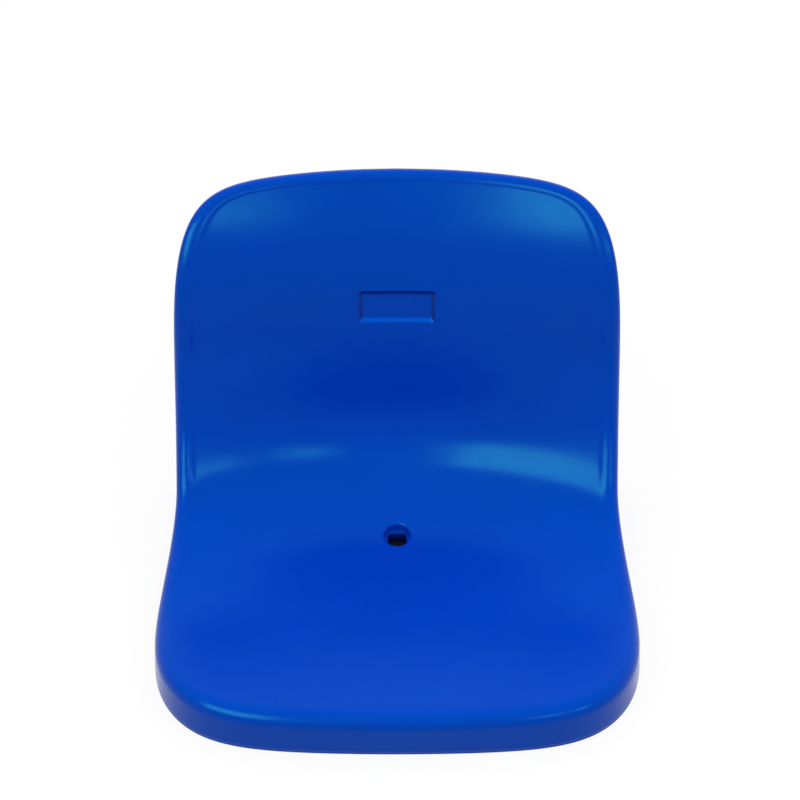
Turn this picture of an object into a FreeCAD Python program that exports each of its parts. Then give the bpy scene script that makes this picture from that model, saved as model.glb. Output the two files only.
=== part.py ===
import math
import os
import FreeCAD
import Part

# One-piece hollow stadium seat, blow moulded in polyethylene, with four metal
# threaded inserts in its underside and a plug in the hole that the blowing
# needle leaves. Millimetres. +Z is up, the sitter faces -Y, and the seat is
# the same on both sides of x = 0. The origin lies on the base plane, in the
# middle of the width and of the depth.

# Plan of the skin, laid out flat: x across, s along the middle line from the
# front lip over the pan and up to the top edge.
FRONT_HALF_WIDTH = 223.1
BACK_HALF_WIDTH = 198.6
TAPER_START = 52.4
TAPER_END = 262.0
FRONT_POWER_ACROSS = 5.92
FRONT_POWER_ALONG = 5.34
FRONT_CROWN = 13.3
TOP_POWER_ACROSS = 8.86
TOP_POWER_ALONG = 5.82
TOP_CROWN = 17.6

# Middle line: straight pan, long bend, a short straight stretch of the back
# and a curl to the rear up to the top edge.
PAN_LENGTH = 177.0
BEND_LENGTH = 195.1
STRAIGHT_LENGTH = 60.0
CURL_LENGTH = 151.9
CURL_START = PAN_LENGTH + BEND_LENGTH + STRAIGHT_LENGTH
SKIN_LENGTH = CURL_START + CURL_LENGTH
PAN_SLOPE = -4.7
BACK_ANGLE_LOW = 76.9
BACK_ANGLE_TOP = 54.5
PAN_HEIGHT = 43.2

# How far the sides stand above the middle line, at stations along it.
DISH_FRONT = 3.9
DISH_PAN = 2.8
DISH_BEND = 46.0
DISH_BACK = 29.0
DISH_POWER = 2.0
DISH_PAN_END = 0.6 * PAN_LENGTH
DISH_BEND_AT = PAN_LENGTH + 0.656 * BEND_LENGTH
DISH_BACK_AT = PAN_LENGTH + 1.297 * BEND_LENGTH

# Rim: a rounded edge that is narrower at the top, a shallow crease inside it
# up the back, a side wall with draft and a rounded rear edge.
SIDE_ROUND_ACROSS = 14.0
FRONT_ROUND_ACROSS = 14.0
TOP_ROUND_ACROSS = 6.8
EDGE_ROUND_DOWN = 14.7
TOP_ROUND_DOWN = 6.0
PAN_REAR_ROUND = 1.1
BACK_REAR_ROUND = 5.0
INNER_ROUND = 0.5
WALL_DRAFT = 0.03
CREASE_DROP = 0.5
CREASE_WIDTH = 4.6
CREASE_START = 240.0
CREASE_FULL = 295.0

# Hollow body.
WALL = 4.0
BACK_THICKNESS = 31.0
TOP_THICKNESS = 13.0
HEEL_START = 254.0
HEEL_END = 321.0
WRAP_END = 440.0
FOOT_WIDTH = 9.0
FOOT_BLEND = 7.0
FOOT_HEIGHT = 2.5

# Drain: a round recess with a floor, a square hole in the floor, and a wider
# round pocket below it that is open to the underside.
DRAIN_STATION = 222.5
DRAIN_RADIUS = 11.5
DRAIN_EDGE_ROUND = 2.5
DRAIN_DEPTH = 8.0
DRAIN_FLOOR = 4.0
DRAIN_SQUARE = 17.0
DRAIN_SQUARE_CORNER = 3.0
DRAIN_POCKET_RADIUS = 14.0
CUT_PAST = 20.0
CENTRE_RING_RADIUS = 5.0

# Empty recess for a seat number plate.
PLATE_STATION = 454.0
PLATE_WIDTH = 60.3
PLATE_HEIGHT = 25.3
PLATE_DEPTH = 1.8
PLATE_DRAFT = 4.2

# Threaded inserts and the pads around them.
INSERT_SPACING_X = 230.0
INSERT_SPACING_Y = 170.0
INSERT_CENTRE_Y = -47.0
INSERT_BORE_RADIUS = 3.4
INSERT_BORE_DEPTH = 15.0
INSERT_FLANGE_FLATS = 16.0
INSERT_FLANGE_HEIGHT = 3.0
INSERT_NECK_RADIUS = 5.5
INSERT_NECK_HEIGHT = 2.5
INSERT_HEAD_FLATS = 14.0
INSERT_LENGTH = 18.0
INSERT_MOUTH_CHAMFER = 0.8
PAD_RADIUS = 18.0
BOSS_RADIUS = 14.0

# Plug of the blowing hole.
PLUG_Y = -90.0
PLUG_HOLE_RADIUS = 5.0
PLUG_PRESS = 0.0
PLUG_CAP_RADIUS = 7.5
PLUG_CAP_THICKNESS = 1.4
PLUG_SEAT_DEPTH = 0.1
PLUG_LENGTH = 8.0
PLUG_INNER_RADIUS = 3.2

# Tack-off dimples, where the rear skin is pinched on to the front skin.
DIMPLE_MOUTH_RADIUS = 14.0
DIMPLE_FLOOR_RADIUS = 6.0
DIMPLE_SKIN = 6.5
PAN_DIMPLES = [(60.0, -128.0), (60.0, -40.0), (152.0, -56.0)]
BACK_DIMPLES = [(80.0, 400.0), (80.0, 505.0)]

# How finely the nets of points follow the form.
COLUMNS = 64
INNER_RINGS = 30
REAR_TURNS = (90.0, 67.0, 45.0, 22.0)
WALL_SHARES = (1.0, 0.7, 0.4, 0.15)
FRONT_TURNS = (0.0, 15.0, 30.0, 45.0, 60.0, 75.0, 90.0)
FRONT_INSETS = (1.5, 3.0, 4.5, 6.0, 8.5, 13.0, 20.0)
REAR_INSETS = (7.5, 9.5, 11.5, 13.5, 15.5, 18.0, 23.0, 30.0, 40.0)
PROFILE_STEPS = 1200


def smooth(t):
    t = min(max(t, 0.0), 1.0)
    return t * t * (3.0 - 2.0 * t)


def angle_at(s):
    bend = smooth((s - PAN_LENGTH) / BEND_LENGTH)
    curl = smooth((s - CURL_START) / CURL_LENGTH)
    degrees = PAN_SLOPE + (BACK_ANGLE_LOW - PAN_SLOPE) * bend
    degrees += (BACK_ANGLE_TOP - BACK_ANGLE_LOW) * curl
    return math.radians(degrees)


# Middle line by summing short steps, kept as a list for look-up.
STEP = SKIN_LENGTH / PROFILE_STEPS
MIDDLE = [(0.0, PAN_HEIGHT)]
for i in range(PROFILE_STEPS):
    mid_angle = angle_at((i + 0.5) * STEP)
    y0, z0 = MIDDLE[-1]
    MIDDLE.append((y0 + STEP * math.cos(mid_angle), z0 + STEP * math.sin(mid_angle)))


def middle(s):
    k = min(max(s / STEP, 0.0), float(PROFILE_STEPS))
    i = min(int(k), PROFILE_STEPS - 1)
    y0, z0 = MIDDLE[i]
    along = s - i * STEP
    a = angle_at(min(max((i * STEP + s) / 2.0, 0.0), SKIN_LENGTH))
    return y0 + along * math.cos(a), z0 + along * math.sin(a)


def half_width(s):
    t = smooth((s - TAPER_START) / (TAPER_END - TAPER_START))
    return FRONT_HALF_WIDTH + (BACK_HALF_WIDTH - FRONT_HALF_WIDTH) * t


def dish(x, s):
    d = DISH_FRONT
    d += (DISH_PAN - DISH_FRONT) * smooth(s / DISH_PAN_END)
    d += (DISH_BEND - DISH_PAN) * smooth((s - DISH_PAN_END) / (DISH_BEND_AT - DISH_PAN_END))
    d += (DISH_BACK - DISH_BEND) * smooth((s - DISH_BEND_AT) / (DISH_BACK_AT - DISH_BEND_AT))
    return d * (abs(x) / half_width(s)) ** DISH_POWER


def heel_share(s):
    return smooth((s - HEEL_START) / (HEEL_END - HEEL_START))


def top_share(s):
    return smooth((s - HEEL_END) / (SKIN_LENGTH - HEEL_END))


def body_depth(x, s):
    # Depth from the front skin to the rear skin. Under the pan it reaches down
    # to the base plane. Behind the back it thins out towards the top, and the
    # flat rear skin of the heel slowly takes up the curve of the sides.
    z = middle(s)[1]
    to_base = z / max(math.cos(angle_at(s)), 0.25)
    thickness = BACK_THICKNESS + (TOP_THICKNESS - BACK_THICKNESS) * top_share(s)
    flat = 1.0 - smooth((s - HEEL_START) / (WRAP_END - HEEL_START))
    k = heel_share(s)
    return (1.0 - k) * to_base + k * thickness + flat * dish(x, s)


def round_across(nx, ns):
    end = FRONT_ROUND_ACROSS if ns < 0.0 else TOP_ROUND_ACROSS
    return SIDE_ROUND_ACROSS * nx * nx + end * ns * ns


def round_down(s):
    return EDGE_ROUND_DOWN + (TOP_ROUND_DOWN - EDGE_ROUND_DOWN) * top_share(s)


def rear_round(s):
    return PAN_REAR_ROUND + (BACK_REAR_ROUND - PAN_REAR_ROUND) * heel_share(s)


def crease(beyond, s):
    # Drop of the front skin at a distance inside the rounded edge.
    drop = CREASE_DROP * smooth((s - CREASE_START) / (CREASE_FULL - CREASE_START))
    return drop * smooth(beyond / CREASE_WIDTH)


def point(x, s, depth):
    y, z = middle(s)
    a = angle_at(s)
    up = dish(x, s) - depth
    return FreeCAD.Vector(x, y - math.sin(a) * up + Y_SHIFT, z + math.cos(a) * up)


def rim_section(x, s, nx, ns, skin):
    # Points of the section through the rim at one place of the outline, from
    # the rear skin over the rounded rear edge, the side wall and the rounded
    # front edge to the front skin. Here skin is the distance inside the outer
    # surface, which is zero for that surface itself.
    across = round_across(nx, ns)
    down = round_down(s)
    radius = max(rear_round(s) - skin, INNER_ROUND)
    total = body_depth(x, s) - skin
    run = total - radius - down
    section = []
    for turn in REAR_TURNS:
        a = math.radians(turn)
        out = WALL_DRAFT * run - skin - radius * (1.0 - math.cos(a))
        px, ps = x + nx * out, s + ns * out
        depth = body_depth(px, ps) - skin - radius * (1.0 - math.sin(a))
        section.append(point(px, ps, depth))
    for share in WALL_SHARES:
        out = WALL_DRAFT * run * share - skin
        section.append(point(x + nx * out, s + ns * out, down + run * share))
    for turn in FRONT_TURNS:
        a = math.radians(turn)
        inset = across - (across - skin) * math.cos(a)
        depth = down - (down - skin) * math.sin(a)
        section.append(point(x - nx * inset, s - ns * inset, depth))
    return section


# Shift that puts the origin in the middle of the depth.
Y_SHIFT = 0.0
Y_FRONT = min(p.y for p in rim_section(0.0, 0.0, 0.0, -1.0, 0.0))
Y_REAR = max(p.y for p in rim_section(0.0, SKIN_LENGTH, 0.0, 1.0, 0.0))
Y_SHIFT = -(Y_FRONT + Y_REAR) / 2.0


def outline_point(t):
    # Rounded rectangle whose two ends are slightly bowed out.
    c = math.cos(t)
    n = math.sin(t)
    front = n < 0.0
    u = abs(c) ** (2.0 / (FRONT_POWER_ACROSS if front else TOP_POWER_ACROSS))
    v = math.copysign(abs(n) ** (2.0 / (FRONT_POWER_ALONG if front else TOP_POWER_ALONG)), n)
    crown = FRONT_CROWN if front else TOP_CROWN
    s = SKIN_LENGTH / 2.0 * (1.0 + v) - crown * u * u * v
    return u * half_width(s), s


def half_outline():
    # Right half of the outline from the front to the top, at the places where
    # a cubic net of even pieces has its poles. Each point comes with the
    # direction that leads straight out of the plan.
    fine = [outline_point(math.pi * (i / 6000.0 - 0.5)) for i in range(6001)]
    fine[0] = (0.0, 0.0)
    fine[-1] = (0.0, SKIN_LENGTH)
    run = [0.0]
    for a, b in zip(fine, fine[1:]):
        run.append(run[-1] + math.hypot(b[0] - a[0], b[1] - a[1]))
    places = [0.0, 1.0 / 3.0] + [float(i) for i in range(1, COLUMNS)]
    places += [COLUMNS - 1.0 / 3.0, float(COLUMNS)]
    result = []
    k = 0
    for place in places:
        target = run[-1] * place / COLUMNS
        while k < len(run) - 2 and run[k + 1] < target:
            k += 1
        f = (target - run[k]) / (run[k + 1] - run[k])
        ax, az = fine[k]
        bx, bz = fine[k + 1]
        length = math.hypot(bx - ax, bz - az)
        x, s = ax + f * (bx - ax), az + f * (bz - az)
        result.append((x, s, (bz - az) / length, -(bx - ax) / length))
    result[0] = (0.0, 0.0, 0.0, -1.0)
    result[-1] = (0.0, SKIN_LENGTH, 0.0, 1.0)
    return result


OUTLINE = half_outline()


def inset_ring(inset_of, depth_of):
    ring = []
    for x, s, nx, ns in OUTLINE:
        inset = inset_of(nx, ns)
        px, ps = x - nx * inset, s - ns * inset
        ring.append(point(px, ps, depth_of(px, ps)))
    return ring


def inner_rings(inset_of, depth_of):
    # Rings that shrink from an inset of the outline to a small level circle
    # around the middle of the drain.
    rings = []
    flat_z = point(0.0, DRAIN_STATION, depth_of(0.0, DRAIN_STATION)).z
    for i in range(1, INNER_RINGS + 1):
        share = i / INNER_RINGS
        ring = []
        for x, s, nx, ns in OUTLINE:
            inset = inset_of(nx, ns)
            qx, qs = x - nx * inset, s - ns * inset
            far = math.hypot(qx, qs - DRAIN_STATION)
            hx = CENTRE_RING_RADIUS * qx / far
            hs = DRAIN_STATION + CENTRE_RING_RADIUS * (qs - DRAIN_STATION) / far
            px, ps = qx + (hx - qx) * share, qs + (hs - qs) * share
            p = point(px, ps, depth_of(px, ps))
            if i == INNER_RINGS:
                p.z = flat_z
            ring.append(p)
        rings.append(ring)
    return rings


def rim_rings(skin):
    sections = [rim_section(x, s, nx, ns, skin) for x, s, nx, ns in OUTLINE]
    return [list(ring) for ring in zip(*sections)]


def front_rings(skin):
    # Rim from the rear edge up, the crease inside it, then the dish.
    rings = rim_rings(skin)
    for beyond in FRONT_INSETS:
        rings.append(inset_ring(lambda nx, ns: round_across(nx, ns) + beyond,
                                lambda x, s: crease(beyond, s) + skin))
    rings += inner_rings(lambda nx, ns: round_across(nx, ns) + FRONT_INSETS[-1],
                         lambda x, s: crease(CREASE_WIDTH, s) + skin)
    return rings


def rear_rings(skin):
    # Underside and rear skin: a narrow foot along the rim, then a slightly
    # raised field.
    rings = [rim_rings(skin)[0]]
    for inset in REAR_INSETS:
        lift = FOOT_HEIGHT * smooth((inset - FOOT_WIDTH) / FOOT_BLEND)
        rings.append(inset_ring(lambda nx, ns: inset,
                                lambda x, s: body_depth(x, s) - lift - skin))
    rings += inner_rings(lambda nx, ns: REAR_INSETS[-1],
                         lambda x, s: body_depth(x, s) - FOOT_HEIGHT - skin)
    return rings


def net_face(rings):
    # Smooth face whose poles are the given net of points.
    rows, columns = len(rings), len(rings[0])
    row_knots = [float(i) for i in range(rows - 2)]
    column_knots = [float(i) for i in range(columns - 2)]
    row_counts = [4] + [1] * (rows - 4) + [4]
    column_counts = [4] + [1] * (columns - 4) + [4]
    net = Part.BSplineSurface()
    net.buildFromPolesMultsKnots(rings, row_counts, column_counts, row_knots, column_knots,
                                 False, False, 3, 3)
    return net.toShape()


def half_faces(rings):
    left = [[FreeCAD.Vector(-p.x, p.y, p.z) for p in ring] for ring in rings]
    return [net_face(rings), net_face(left)]


def cap_face(faces, z):
    edges = []
    for face in faces:
        for edge in face.Edges:
            box = edge.BoundBox
            near = max(abs(box.ZMin - z), abs(box.ZMax - z)) < 1e-4
            if near and box.DiagonalLength < 4.0 * CENTRE_RING_RADIUS:
                edges.append(edge)
    return Part.Face(Part.Wire(Part.sortEdges(edges)[0]))


def skin_solid(skin):
    front = front_rings(skin)
    rear = rear_rings(skin)
    front_faces = half_faces(front)
    rear_faces = half_faces(rear)
    faces = front_faces + rear_faces
    faces.append(cap_face(front_faces, front[-1][0].z))
    faces.append(cap_face(rear_faces, rear[-1][0].z))
    shell = Part.makeShell(faces)
    shell.sewShape(0.02)
    solid = Part.makeSolid(Part.makeShell(shell.Faces))
    if solid.Volume < 0:
        solid.reverse()
    return solid


def upright(radius, x, y, z0, z1):
    return Part.makeCylinder(radius, z1 - z0, FreeCAD.Vector(x, y, z0))


def hexagon(flats, x, y, z0, z1):
    corner = flats / 2.0 / math.cos(math.radians(30.0))
    points = []
    for k in range(7):
        a = math.radians(60.0 * k)
        points.append(FreeCAD.Vector(x + corner * math.cos(a), y + corner * math.sin(a), z0))
    return Part.Face(Part.makePolygon(points)).extrude(FreeCAD.Vector(0, 0, z1 - z0))


def insert_envelope(x, y):
    flange = hexagon(INSERT_FLANGE_FLATS, x, y, 0.0, INSERT_FLANGE_HEIGHT)
    neck_top = INSERT_FLANGE_HEIGHT + INSERT_NECK_HEIGHT
    neck = upright(INSERT_NECK_RADIUS, x, y, INSERT_FLANGE_HEIGHT, neck_top)
    head = hexagon(INSERT_HEAD_FLATS, x, y, neck_top, INSERT_LENGTH)
    return flange.fuse([neck, head]).removeSplitter()


def threaded_insert(x, y):
    bore = upright(INSERT_BORE_RADIUS, x, y, 0.0, INSERT_BORE_DEPTH)
    mouth = Part.makeCone(INSERT_BORE_RADIUS + INSERT_MOUTH_CHAMFER, INSERT_BORE_RADIUS,
                          INSERT_MOUTH_CHAMFER, FreeCAD.Vector(x, y, 0.0))
    return insert_envelope(x, y).cut(bore.fuse(mouth))


def drain_heights():
    # Level of the skin at the drain, of the recess floor and of its underside.
    mouth = point(0.0, DRAIN_STATION, 0.0).z
    return mouth, mouth - DRAIN_DEPTH, mouth - DRAIN_DEPTH - DRAIN_FLOOR


def drain_mouth(y, top):
    # Rounded edge of the recess, turned about its upright axis.
    r = DRAIN_RADIUS
    k = DRAIN_EDGE_ROUND
    high = top + CUT_PAST
    start = FreeCAD.Vector(r, 0, top - k)
    bulge = FreeCAD.Vector(r + k * (1 - math.cos(math.pi / 4)), 0,
                           top - k + k * math.sin(math.pi / 4))
    end = FreeCAD.Vector(r + k, 0, top)
    outer = FreeCAD.Vector(r + k, 0, high)
    inner = FreeCAD.Vector(0, 0, high)
    low = FreeCAD.Vector(0, 0, top - k)
    edges = [Part.Arc(start, bulge, end).toShape(), Part.makeLine(end, outer),
             Part.makeLine(outer, inner), Part.makeLine(inner, low), Part.makeLine(low, start)]
    profile = Part.Face(Part.Wire(edges))
    mouth = profile.revolve(FreeCAD.Vector(0, 0, 0), FreeCAD.Vector(0, 0, 1), 360)
    mouth.translate(FreeCAD.Vector(0, y, 0))
    return mouth


def drain_cutter():
    top, floor, under = drain_heights()
    y = point(0.0, DRAIN_STATION, 0.0).y
    recess = upright(DRAIN_RADIUS, 0.0, y, floor, top + CUT_PAST)
    pocket = upright(DRAIN_POCKET_RADIUS, 0.0, y, -1.0, under)
    half = DRAIN_SQUARE / 2.0
    square = Part.makeBox(DRAIN_SQUARE, DRAIN_SQUARE, DRAIN_FLOOR + 2.0,
                          FreeCAD.Vector(-half, y - half, under - 1.0))
    corners = [e for e in square.Edges if e.BoundBox.ZLength > DRAIN_FLOOR]
    square = square.makeFillet(DRAIN_SQUARE_CORNER, corners)
    return recess.fuse([pocket, square, drain_mouth(y, top)])


def drain_wall():
    # Material around the recess and the pocket inside the hollow.
    top, floor, under = drain_heights()
    y = point(0.0, DRAIN_STATION, 0.0).y
    upper = upright(DRAIN_RADIUS + WALL, 0.0, y, under, top + CUT_PAST)
    lower = upright(DRAIN_POCKET_RADIUS + WALL, 0.0, y, -1.0, floor)
    return upper.fuse(lower)


def skin_frame(x, s, depth):
    # Placement whose z axis leaves the skin towards the sitter.
    a = angle_at(s)
    base = point(x, s, depth)
    across = FreeCAD.Vector(1, 0, 0)
    along = FreeCAD.Vector(0, math.cos(a), math.sin(a))
    out = FreeCAD.Vector(0, -math.sin(a), math.cos(a))
    return FreeCAD.Placement(base, FreeCAD.Rotation(across, along, out, "XYZ"))


def plate_recess(grow, depth):
    # Drafted rectangular pocket with a flat floor.
    skin = crease(CREASE_WIDTH, PLATE_STATION)
    rise = 10.0
    slope = PLATE_DRAFT / PLATE_DEPTH
    half_x = PLATE_WIDTH / 2.0 + grow
    half_s = PLATE_HEIGHT / 2.0 + grow
    wires = []
    for z, more in ((-depth, 0.0), (rise, (depth + rise) * slope)):
        hx, hs = half_x + more, half_s + more
        corners = [(-hx, -hs), (hx, -hs), (hx, hs), (-hx, hs), (-hx, -hs)]
        wires.append(Part.makePolygon([FreeCAD.Vector(a, b, z) for a, b in corners]))
    tool = Part.makeLoft(wires, True, True)
    tool.Placement = skin_frame(0.0, PLATE_STATION, skin)
    return tool


def dimple(x, s, grow):
    # Cone from the rear skin towards the front skin. The grown one reaches
    # right through, so that the two skins join around the dimple floor.
    reach = body_depth(x, s) - crease(CREASE_WIDTH, s) - DIMPLE_SKIN
    slope = (DIMPLE_MOUTH_RADIUS - DIMPLE_FLOOR_RADIUS) / reach
    below = 6.0
    floor_radius = DIMPLE_FLOOR_RADIUS + grow
    mouth_radius = DIMPLE_MOUTH_RADIUS + grow + below * slope
    cone = Part.makeCone(mouth_radius, floor_radius, reach + below, FreeCAD.Vector(0, 0, -below))
    if grow > 0.0:
        cone = cone.fuse(Part.makeCylinder(floor_radius, DIMPLE_SKIN + 4.0,
                                           FreeCAD.Vector(0, 0, reach)))
    cone.Placement = skin_frame(x, s, body_depth(x, s))
    return cone


def station_of(y):
    # Station on the pan whose middle line point lies at the given y.
    low, high = 0.0, PAN_LENGTH + BEND_LENGTH
    for _ in range(60):
        half = (low + high) / 2.0
        if middle(half)[0] + Y_SHIFT < y:
            low = half
        else:
            high = half
    return (low + high) / 2.0


def insert_places():
    across = INSERT_SPACING_X / 2.0
    front = INSERT_CENTRE_Y - INSERT_SPACING_Y / 2.0
    rear = INSERT_CENTRE_Y + INSERT_SPACING_Y / 2.0
    return {
        "threaded_insert_front_left": (-across, front),
        "threaded_insert_front_right": (across, front),
        "threaded_insert_rear_left": (-across, rear),
        "threaded_insert_rear_right": (across, rear),
    }


def dimple_places():
    places = []
    for x, y in PAN_DIMPLES:
        s = station_of(y)
        places += [(x, s), (-x, s)]
    for x, s in BACK_DIMPLES:
        places += [(x, s), (-x, s)]
    return places


def plug_seat_z():
    return FOOT_HEIGHT + PLUG_SEAT_DEPTH


def seat_body():
    outer = skin_solid(0.0)
    cavity = skin_solid(WALL)
    # Material that stays inside the hollow: the wall of the drain, the boss around
    # each insert, the backing of the plate recess and the tack-offs.
    keep = [drain_wall()]
    for x, y in insert_places().values():
        keep.append(upright(BOSS_RADIUS, x, y, -1.0, INSERT_LENGTH + WALL))
    for x, s in dimple_places():
        keep.append(dimple(x, s, WALL))
    keep.append(plate_recess(WALL, PLATE_DEPTH + WALL))
    for tool in keep:
        cavity = cavity.cut(tool)
    pads = []
    for x, y in insert_places().values():
        pads.append(upright(PAD_RADIUS, x, y, 0.0, FOOT_HEIGHT + WALL / 2.0))
    body = outer.fuse(pads)
    body = body.cut(cavity)
    cuts = [drain_cutter(), plate_recess(0.0, PLATE_DEPTH)]
    for x, s in dimple_places():
        cuts.append(dimple(x, s, 0.0))
    for x, y in insert_places().values():
        cuts.append(insert_envelope(x, y))
    cuts.append(upright(PLUG_HOLE_RADIUS, 0.0, PLUG_Y, -1.0, FOOT_HEIGHT + 2.0 * WALL))
    cuts.append(upright(PLUG_CAP_RADIUS + 0.5, 0.0, PLUG_Y, -1.0, plug_seat_z()))
    for tool in cuts:
        body = body.cut(tool)
    return body


def blow_hole_plug():
    seat = plug_seat_z()
    cap = upright(PLUG_CAP_RADIUS, 0.0, PLUG_Y, seat - PLUG_CAP_THICKNESS, seat)
    rim = [e for e in cap.Edges if abs(e.BoundBox.ZMax - (seat - PLUG_CAP_THICKNESS)) < 1e-6]
    cap = cap.makeFillet(0.5, rim)
    stem = upright(PLUG_HOLE_RADIUS + PLUG_PRESS, 0.0, PLUG_Y, seat, seat + PLUG_LENGTH)
    tip = [e for e in stem.Edges if abs(e.BoundBox.ZMin - (seat + PLUG_LENGTH)) < 1e-6]
    stem = stem.makeChamfer(0.8, tip)
    hollow = upright(PLUG_INNER_RADIUS, 0.0, PLUG_Y, seat, seat + PLUG_LENGTH)
    return cap.fuse(stem.cut(hollow)).removeSplitter()


def main():
    os.makedirs("parts", exist_ok=True)
    nodes = {"seat_body": seat_body(), "blow_hole_plug": blow_hole_plug()}
    for name, (x, y) in insert_places().items():
        nodes[name] = threaded_insert(x, y)
    for name, shape in nodes.items():
        if len(shape.Solids) != 1 or not shape.isValid():
            raise RuntimeError(name + " is not one valid solid")
        shape.Solids[0].exportStep("parts/" + name + ".step")
        box = shape.BoundBox
        print(name, [round(v, 2) for v in (box.XMin, box.YMin, box.ZMin)],
              [round(v, 2) for v in (box.XMax, box.YMax, box.ZMax)], round(shape.Volume, 1))


main()
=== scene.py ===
import math

import bmesh
import bpy
import numpy as np
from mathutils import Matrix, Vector
from mathutils.geometry import delaunay_2d_cdt


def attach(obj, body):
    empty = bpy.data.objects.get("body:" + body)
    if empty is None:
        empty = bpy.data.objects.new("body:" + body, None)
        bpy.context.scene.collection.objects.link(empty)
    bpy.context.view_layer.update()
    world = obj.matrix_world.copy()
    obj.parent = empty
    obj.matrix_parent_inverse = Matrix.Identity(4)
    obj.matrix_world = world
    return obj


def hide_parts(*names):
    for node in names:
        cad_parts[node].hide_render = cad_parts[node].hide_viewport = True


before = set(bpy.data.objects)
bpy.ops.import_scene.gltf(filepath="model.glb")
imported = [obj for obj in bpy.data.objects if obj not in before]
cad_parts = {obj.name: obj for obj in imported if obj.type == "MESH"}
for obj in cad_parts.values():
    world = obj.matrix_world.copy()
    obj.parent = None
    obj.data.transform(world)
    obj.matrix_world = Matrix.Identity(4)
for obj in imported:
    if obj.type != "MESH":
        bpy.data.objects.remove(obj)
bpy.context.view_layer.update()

# The seat's form repeats the formula of the solids. Lengths are millimetres
# until the vertices are written. x runs across, and s along the middle line
# from the front lip over the pan and up the back.
MM_PER_METRE = 1000.0

# Plan of the skin, laid out flat.
FRONT_HALF_WIDTH = 223.1
BACK_HALF_WIDTH = 198.6
TAPER_START = 52.4
TAPER_END = 262.0
FRONT_POWER_ACROSS = 5.92
FRONT_POWER_ALONG = 5.34
FRONT_CROWN = 13.3
TOP_POWER_ACROSS = 8.86
TOP_POWER_ALONG = 5.82
TOP_CROWN = 17.6

# Middle line.
PAN_LENGTH = 177.0
BEND_LENGTH = 195.1
STRAIGHT_LENGTH = 60.0
CURL_LENGTH = 151.9
CURL_START = PAN_LENGTH + BEND_LENGTH + STRAIGHT_LENGTH
SKIN_LENGTH = CURL_START + CURL_LENGTH
PAN_SLOPE = -4.7
BACK_ANGLE_LOW = 76.9
BACK_ANGLE_TOP = 54.5
PAN_HEIGHT = 43.2

# How far the sides stand above the middle line, at stations along it.
DISH_FRONT = 3.9
DISH_PAN = 2.8
DISH_BEND = 46.0
DISH_BACK = 29.0
DISH_POWER = 2.0
DISH_PAN_END = 0.6 * PAN_LENGTH
DISH_BEND_AT = PAN_LENGTH + 0.656 * BEND_LENGTH
DISH_BACK_AT = PAN_LENGTH + 1.297 * BEND_LENGTH

# Rim, and the crease inside it up the back.
SIDE_ROUND_ACROSS = 14.0
FRONT_ROUND_ACROSS = 14.0
TOP_ROUND_ACROSS = 6.8
EDGE_ROUND_DOWN = 14.7
TOP_ROUND_DOWN = 6.0
PAN_REAR_ROUND = 1.1
BACK_REAR_ROUND = 5.0
WALL_DRAFT = 0.03
CREASE_DROP = 0.5
CREASE_WIDTH = 4.6
CREASE_START = 240.0
CREASE_FULL = 295.0

# Depth of the body and its foot.
BACK_THICKNESS = 31.0
TOP_THICKNESS = 13.0
HEEL_START = 254.0
HEEL_END = 321.0
WRAP_END = 440.0
FOOT_WIDTH = 9.0
FOOT_BLEND = 7.0
FOOT_HEIGHT = 2.5

# Drain and plate recess.
DRAIN_STATION = 222.5
DRAIN_RADIUS = 11.5
DRAIN_EDGE_ROUND = 2.5
DRAIN_DEPTH = 8.0
DRAIN_FLOOR = 4.0
DRAIN_SQUARE = 17.0
DRAIN_SQUARE_CORNER = 3.0
DRAIN_POCKET_RADIUS = 14.0
PLATE_STATION = 454.0
PLATE_WIDTH = 60.3
PLATE_HEIGHT = 25.3
PLATE_DEPTH = 1.8
PLATE_DRAFT = 4.2

# Threaded inserts, their pads, the plug's seat and the tack-off dimples.
INSERT_SPACING_X = 230.0
INSERT_SPACING_Y = 170.0
INSERT_CENTRE_Y = -47.0
INSERT_FLANGE_FLATS = 16.0
INSERT_FLANGE_HEIGHT = 3.0
INSERT_NECK_RADIUS = 5.5
INSERT_NECK_HEIGHT = 2.5
INSERT_HEAD_FLATS = 14.0
INSERT_LENGTH = 18.0
INSERT_BORE_RADIUS = 3.4
INSERT_BORE_DEPTH = 15.0
PAD_RADIUS = 18.0
PLUG_Y = -90.0
PLUG_SEAT_RADIUS = 8.0
PLUG_SEAT_DEPTH = 0.1
DIMPLE_MOUTH_RADIUS = 14.0
DIMPLE_FLOOR_RADIUS = 6.0
DIMPLE_SKIN = 6.5
PAN_DIMPLES = [(60.0, -128.0), (60.0, -40.0), (152.0, -56.0)]
BACK_DIMPLES = [(80.0, 400.0), (80.0, 505.0)]

# Fine shapes that only show from close by: the seam that the mould leaves in
# the side wall, small rounds at edges, and the threads.
SEAM_DEPTH = 0.22
SEAM_WIDTH = 1.2
DRAIN_FILLET = 0.5
DRAIN_BLEND = 10.0
SQUARE_BREAK = 0.3
SQUARE_ROUND = 0.35
POCKET_BREAK = 0.6
PLATE_CORNER = 0.9
PLATE_CORNER_LEAST = 0.25
PLATE_EASE = 0.1
PAD_EDGE = 0.9
SOCKET_FLOOR = 1.5
DIMPLE_MOUTH_EASE = 1.6
DIMPLE_FLOOR_EASE = 1.2
THREAD_PITCH = 1.25
THREAD_DEPTH = 0.55
THREAD_START = 0.1
THREAD_END = 0.2
THREAD_STEPS_PER_TURN = 10
INSERT_MOUTH_RADIUS = 4.25
INSERT_MOUTH_LAND = 0.9
INSERT_FACE_GAP = 0.02
INSERT_FLANGE_BREAK = 0.5
INSERT_FLANGE_EDGE = 0.3

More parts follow.
